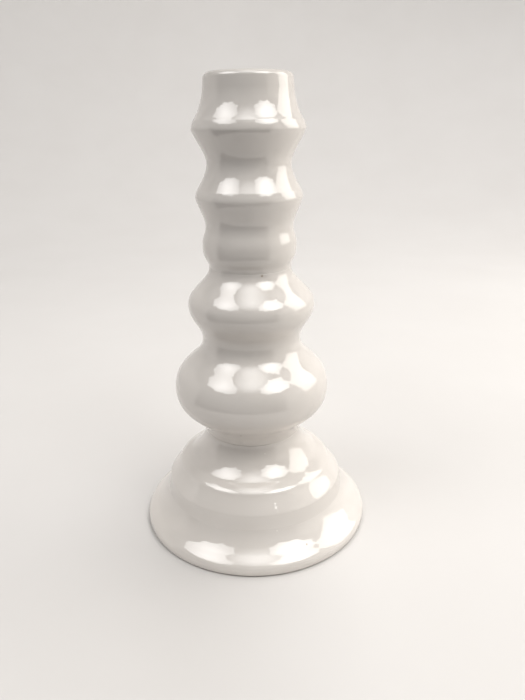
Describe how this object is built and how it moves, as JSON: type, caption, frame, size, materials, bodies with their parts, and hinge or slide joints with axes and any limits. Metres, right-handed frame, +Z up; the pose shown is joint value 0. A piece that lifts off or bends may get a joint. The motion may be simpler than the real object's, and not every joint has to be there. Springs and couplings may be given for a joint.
{
  "type": "turned candlestick",
  "caption": "Tall round candlestick with a stepped dome foot, stacked bulges and sharp ridges, a flared cup and a lift-out metal candle cup, in gloss white.",
  "frame": {"origin": "centre of the resting face, on the turning axis, at table level", "axes": "+Z up along the turning axis, towards the candle; the candlestick is round, so +X and +Y are any two level directions"},
  "size_m": [0.134, 0.134, 0.25],
  "materials": {
    "white_lacquer": "opaque gloss white lacquer on turned hardwood, with faint orange peel",
    "cup_metal": "satin spun brass",
    "screw_steel": "bright zinc plating",
    "dowel_wood": "bare beech",
    "felt": "pressed wool felt, dark brown"
  },
  "bodies": {
    "candlestick": {"felt_pad": "felt", "plinth": "white_lacquer", "base_dome": "white_lacquer", "lower_column": "white_lacquer", "upper_column": "white_lacquer", "base_screw": "screw_steel", "base_washer": "screw_steel", "plinth_dowels": "dowel_wood", "column_dowel": "dowel_wood"},
    "cup": {"candle_cup": "cup_metal"}
  },
  "joints": [
    {"name": "cup_lift", "type": "slide", "parent": "candlestick", "child": "cup", "axis": [0, 0, 1], "range_m": [0, 0.03]}
  ]
}
